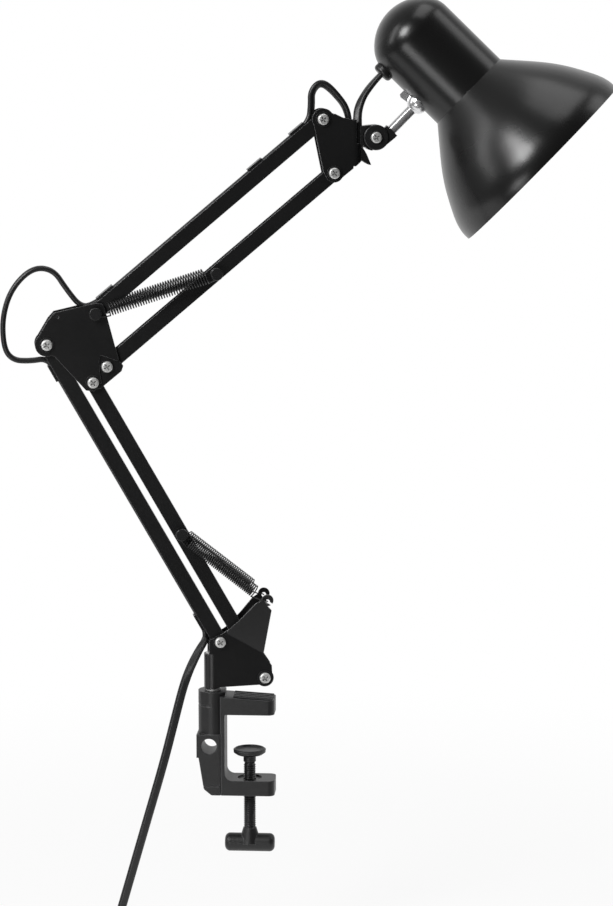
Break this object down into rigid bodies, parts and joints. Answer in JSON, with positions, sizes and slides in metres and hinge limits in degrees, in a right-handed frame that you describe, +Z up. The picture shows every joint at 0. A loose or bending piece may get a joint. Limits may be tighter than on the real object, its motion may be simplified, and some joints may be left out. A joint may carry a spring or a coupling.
{
  "type": "clamp-on swing-arm desk lamp",
  "caption": "Spring-balanced swing-arm desk lamp with parallel channel bars, a bell shade on a knuckle and a screw clamp for a desk edge.",
  "frame": {"origin": "on the underside of the clamp's upper jaw, where it rests on the desk top, in the arm's plane", "axes": "+Z up, arm in the XZ plane, +X towards the shade, front seen along +Y"},
  "size_m": [0.5803, 0.1771, 0.7589],
  "materials": {
    "black_steel": "satin black powder coat",
    "clamp_plastic": "charcoal moulded",
    "zinc_steel": "bright zinc plate",
    "dark_steel": "dark oxide",
    "spring_wire": "black coated wire",
    "chrome": "polished",
    "shade_paint": "satin gloss black enamel",
    "black_plastic": "moulded black",
    "brass": "plain",
    "pin_metal": "nickel plate",
    "cord_pvc": "smooth black sheath"
  },
  "bodies": {
    "clamp": {"clamp_body": "clamp_plastic"},
    "base": {"post": "zinc_steel", "base_bracket": "black_steel", "base_pivot_screws": "zinc_steel", "base_pivot_nuts": "zinc_steel", "base_washers": "dark_steel", "lower_spring_front": "spring_wire", "lower_spring_rear": "spring_wire", "cord_tail": "cord_pvc", "cord_coil": "cord_pvc", "coil_tie": "black_plastic", "switch_body": "black_plastic", "plug_body": "black_plastic", "plug_pins": "pin_metal"},
    "lower_outer": {"lower_outer_bar": "black_steel", "lower_cord_clips": "black_steel", "cord_lower_run": "cord_pvc"},
    "lower_inner": {"lower_inner_bar": "black_steel", "lower_spring_pin": "dark_steel"},
    "elbow": {"elbow_plate_front": "black_steel", "elbow_plate_rear": "black_steel", "elbow_gussets": "black_steel", "elbow_spring_pin": "dark_steel", "elbow_pivot_screws": "zinc_steel", "elbow_pivot_nuts": "zinc_steel", "elbow_washers": "dark_steel", "upper_spring_front": "spring_wire", "upper_spring_rear": "spring_wire", "cord_elbow_over": "cord_pvc", "cord_elbow_under": "cord_pvc"},
    "upper_top": {"upper_top_bar": "black_steel", "upper_cord_clips": "black_steel", "cord_upper_run": "cord_pvc"},
    "upper_low": {"upper_low_bar": "black_steel", "upper_spring_pin": "dark_steel"},
    "head": {"head_bracket": "black_steel", "head_pivot_screws": "zinc_steel", "head_nuts": "zinc_steel", "head_washers": "dark_steel", "knuckle_block": "dark_steel", "knuckle_rivet": "zinc_steel", "knuckle_screw": "zinc_steel", "cord_head_loop": "cord_pvc", "cord_nose_lead": "cord_pvc"},
    "tilt": {"knuckle_lobe": "dark_steel", "chrome_rod": "chrome", "rod_nut": "zinc_steel", "cord_shade_lead": "cord_pvc"},
    "shade": {"lamp_shade": "shade_paint", "rod_cup": "chrome", "cord_gland": "black_plastic", "lampholder_body": "black_plastic", "lampholder_shell": "brass", "lampholder_contact": "brass", "lampholder_stem": "shade_paint"},
    "pad": {"pressure_pad": "clamp_plastic"},
    "screw": {"clamp_screw": "dark_steel", "clamp_handle": "clamp_plastic"},
    "rocker": {"switch_rocker": "black_plastic"}
  },
  "joints": [
    {"name": "post_swivel", "type": "hinge", "parent": "clamp", "child": "base", "pos_m": [-0.0283, 0, 0], "axis": [0, 0, 1], "range_deg": [-135, 135]},
    {"name": "lower_arm", "type": "hinge", "parent": "base", "child": "lower_outer", "pos_m": [-0.0235, 0, 0.057], "axis": [0, 1, 0], "range_deg": [-5, 60], "deforming": ["lower_spring_front", "lower_spring_rear", "cord_tail", "cord_elbow_under"]},
    {"name": "lower_link", "type": "hinge", "parent": "base", "child": "lower_inner", "pos_m": [0.0115, 0, 0.0275], "axis": [0, 1, 0], "range_deg": [-5, 60]},
    {"name": "elbow_level", "type": "hinge", "parent": "lower_outer", "child": "elbow", "pos_m": [-0.15563, 0, 0.29246], "axis": [0, 1, 0], "range_deg": [-60, 5]},
    {"name": "upper_arm", "type": "hinge", "parent": "elbow", "child": "upper_top", "pos_m": [-0.1185, 0, 0.316], "axis": [0, 1, 0], "range_deg": [-35, 55], "deforming": ["upper_spring_front", "upper_spring_rear", "cord_elbow_over", "cord_head_loop"]},
    {"name": "upper_link", "type": "hinge", "parent": "elbow", "child": "upper_low", "pos_m": [-0.1098, 0, 0.275], "axis": [0, 1, 0], "range_deg": [-35, 55]},
    {"name": "head_level", "type": "hinge", "parent": "upper_top", "child": "head", "pos_m": [0.05718, 0, 0.46289], "axis": [0, 1, 0], "range_deg": [-55, 35]},
    {"name": "head_tilt", "type": "hinge", "parent": "head", "child": "tilt", "pos_m": [0.09848, 0, 0.44889], "axis": [0, 1, 0], "range_deg": [-25, 45], "deforming": ["cord_shade_lead", "cord_nose_lead"]},
    {"name": "shade_turn", "type": "hinge", "parent": "tilt", "child": "shade", "pos_m": [0.15532, 0, 0.49891], "axis": [0.7034, 0, 0.7108], "range_deg": [-45, 45], "deforming": ["cord_shade_lead"]},
    {"name": "screw_travel", "type": "slide", "parent": "clamp", "child": "pad", "axis": [0, 0, 1], "range_m": [-0.012, 0.026]},
    {"name": "screw_spin", "type": "hinge", "parent": "pad", "child": "screw", "pos_m": [-0.00047, -0.00516, -0.0294], "axis": [0, 0, 1], "range_deg": [-2470, 5350]},
    {"name": "switch_rock", "type": "hinge", "parent": "base", "child": "rocker", "pos_m": [-0.187, 0, -0.1816], "axis": [0, 1, 0], "range_deg": [-8, 8]}
  ],
  "couplings": [
    {"joint": "lower_link", "follows": "lower_arm", "ratio": 1},
    {"joint": "elbow_level", "follows": "lower_arm", "ratio": -1},
    {"joint": "upper_link", "follows": "upper_arm", "ratio": 1},
    {"joint": "head_level", "follows": "upper_arm", "ratio": -1},
    {"joint": "screw_spin", "follows": "screw_travel", "rad_per_m": 3590.4}
  ]
}
